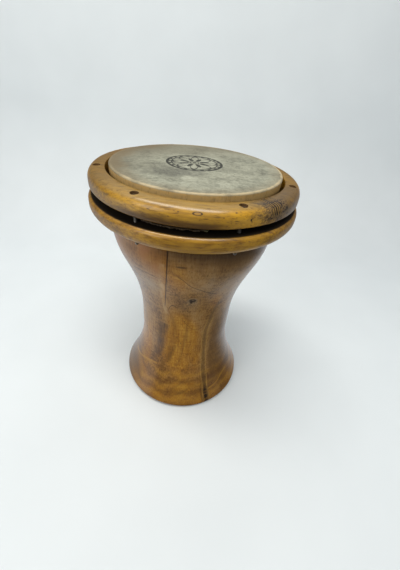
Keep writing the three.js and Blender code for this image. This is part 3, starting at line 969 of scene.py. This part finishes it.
for number, bolt_angle in enumerate(BOLT_ANGLES, 1):
    cap_top = top_face(bolt_angle) - CAP_SINK
    cap_low = cap_top - CAP_HEIGHT
    profile = [(0, TIP_Z)] + rounding(0, TIP_Z + TIP_ROUND, TIP_ROUND, -65, -15, 5)
    threads = int((cap_low - 6 - (TIP_Z + SHANK_R)) / THREAD_PITCH)
    for i in range(threads):
        z = TIP_Z + SHANK_R + i * THREAD_PITCH
        profile += [(SHANK_R - THREAD_DEPTH, z), (SHANK_R, z + THREAD_PITCH * 0.4)]
        profile += [(SHANK_R, z + THREAD_PITCH * 0.6)]
    profile += [(SHANK_R - 0.1, cap_low - 5), (SHANK_R - 0.1, cap_low), (CAP_R - 0.2, cap_low)]
    profile += [(CAP_R, cap_low + 0.2), (CAP_R, cap_top - 0.5), (CAP_R - 0.15, cap_top - 0.15)]
    profile += [(CAP_R - 0.5, cap_top), (SOCKET_R + 0.6, cap_top), (0, cap_top)]
    bolt = turn(profile, BOLT_STEPS, closed=False)
    bmesh.ops.translate(bolt, verts=bolt.verts, vec=on_drum(bolt_angle, BOLT_CIRCLE_R, 0))
    socket = bmesh.new()
    bmesh.ops.create_cone(
        socket, cap_ends=True, segments=6, radius1=SOCKET_R * MM, radius2=SOCKET_R * MM,
        depth=SOCKET_DEPTH * 2 * MM,
    )
    bmesh.ops.rotate(
        socket, verts=socket.verts, cent=(0, 0, 0), matrix=Matrix.Rotation(number, 3, "Z"))
    bmesh.ops.translate(
        socket, verts=socket.verts, vec=on_drum(bolt_angle, BOLT_CIRCLE_R, cap_top))
    bolt_piece = as_object(f"bolt_{number}_steel", bolt)
    cut(bolt_piece, [socket])
    shade(bolt_piece)
    bolt_piece.data.materials.append(bolt_steel)
    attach(bolt_piece, "root")
    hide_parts(f"bolt_{number}")


# Floor, light and camera
# A pale matt floor runs up into a backdrop in one sweep. A wide soft light hangs overhead, a
# fainter one stands at the front left, and the camera looks down on the drum from close by.

SWEEP_FRONT, SWEEP_BACK, SWEEP_SIDE, SWEEP_HIGH, SWEEP_ROUND = -3, 0.75, 3, 2.2, 0.35

sweep = bmesh.new()
outline = ((-1, SWEEP_FRONT), (1, SWEEP_FRONT), (1, SWEEP_BACK), (-1, SWEEP_BACK))
corners = [sweep.verts.new((SWEEP_SIDE * side, y, 0)) for side, y in outline]
sweep.faces.new(corners)
back_edge = sweep.edges.get(corners[2:])
wall = bmesh.ops.extrude_edge_only(sweep, edges=[back_edge])["geom"]
raised = [item for item in wall if isinstance(item, bmesh.types.BMVert)]
bmesh.ops.translate(sweep, verts=raised, vec=(0, 0, SWEEP_HIGH))
back_edge = sweep.edges.get(corners[2:])
bmesh.ops.bevel(
    sweep, geom=[back_edge], offset=SWEEP_ROUND, offset_type="OFFSET", affect="EDGES",
    segments=24, profile=0.5, material=-1,
)
bmesh.ops.recalc_face_normals(sweep, faces=sweep.faces)
floor = as_object("floor", sweep)
shade(floor)
ground = Place("pale floor")
mottle = ground.at.speckle(160, 3, detail=2)
pale = mottle.colours((0.3, (0.75, 0.795, 0.82)), (0.7, (0.78, 0.825, 0.85)))
floor.data.materials.append(ground.finish(pale, 0.65 + 0.1 * mottle, mottle, 0.01))
floor.visible_glossy = False

scene = bpy.context.scene
scene.view_settings.view_transform = "Standard"
world = bpy.data.worlds.new("soft room")
scene.world = world
world.use_nodes = True
sky = world.node_tree.nodes["Background"]
sky.inputs["Color"].default_value = (0.93, 0.97, 1, 1)
toward = Signal(world.node_tree).node("TexCoord", out="Generated")
axes = toward.node("SeparateXYZ", {}, {0: toward}).socket.node
toward_x, toward_y, toward_z = (Signal(world.node_tree, socket) for socket in axes.outputs)
# Strength by direction: soft above, dark low in front, brighter low behind, and a window at
# each side, the brighter one on the left.
upper = toward_z.above(0, 0.9) * 0.25 + 0.2
lower = (toward_y - toward_x * 0.55).above(-0.45, 0.35) * 0.66 + 0.03
level = toward_z.above(-0.12, 0.08)
pane = (toward_y + 0.4) * (toward_y + 0.4) + (toward_z + 0.15) * (toward_z + 0.15)
window = pane.above(0.10, 0.02) * (0.4 - toward_x * 0.3)
strength = upper * level + lower * (1 - level) + window
world.node_tree.links.new(strength.socket, sky.inputs["Strength"])

LAMP_COLOUR = (1, 0.97, 0.91)


def soft_light(name, place, aim, wide, tall, power):
    """A rectangular soft light that faces a point."""
    data = bpy.data.lights.new(name, "AREA")
    data.shape, data.size, data.size_y = "RECTANGLE", wide, tall
    data.energy, data.color = power, LAMP_COLOUR
    lamp = bpy.data.objects.new(name, data)
    lamp.location = place
    lamp.rotation_euler = (Vector(aim) - Vector(place)).to_track_quat("-Z", "Y").to_euler()
    scene.collection.objects.link(lamp)


soft_light("overhead", (-0.12, -0.25, 1.75), (0, 0, 0.3), wide=1.6, tall=0.4, power=21)
soft_light("front left", (-1.1, -1.1, 1.1), (0, 0, 0.2), wide=0.8, tall=0.8, power=6.5)

# Where the photograph was taken from.
EYE = (0, -0.3716, 0.4837)
TURNS = ((52.4, "X"), (-2.48, "Y"), (4.38, "Z"))
SENSOR, FOCAL_LENGTH = 36, 17.58
view = bpy.data.cameras.new("camera")
view.sensor_width, view.lens = SENSOR, FOCAL_LENGTH
camera = bpy.data.objects.new("camera", view)
look = Matrix.Identity(4)
for degrees, axis in TURNS:
    look = look @ Matrix.Rotation(math.radians(degrees), 4, axis)
camera.matrix_world = Matrix.Translation(EYE) @ look
scene.collection.objects.link(camera)
scene.camera = camera
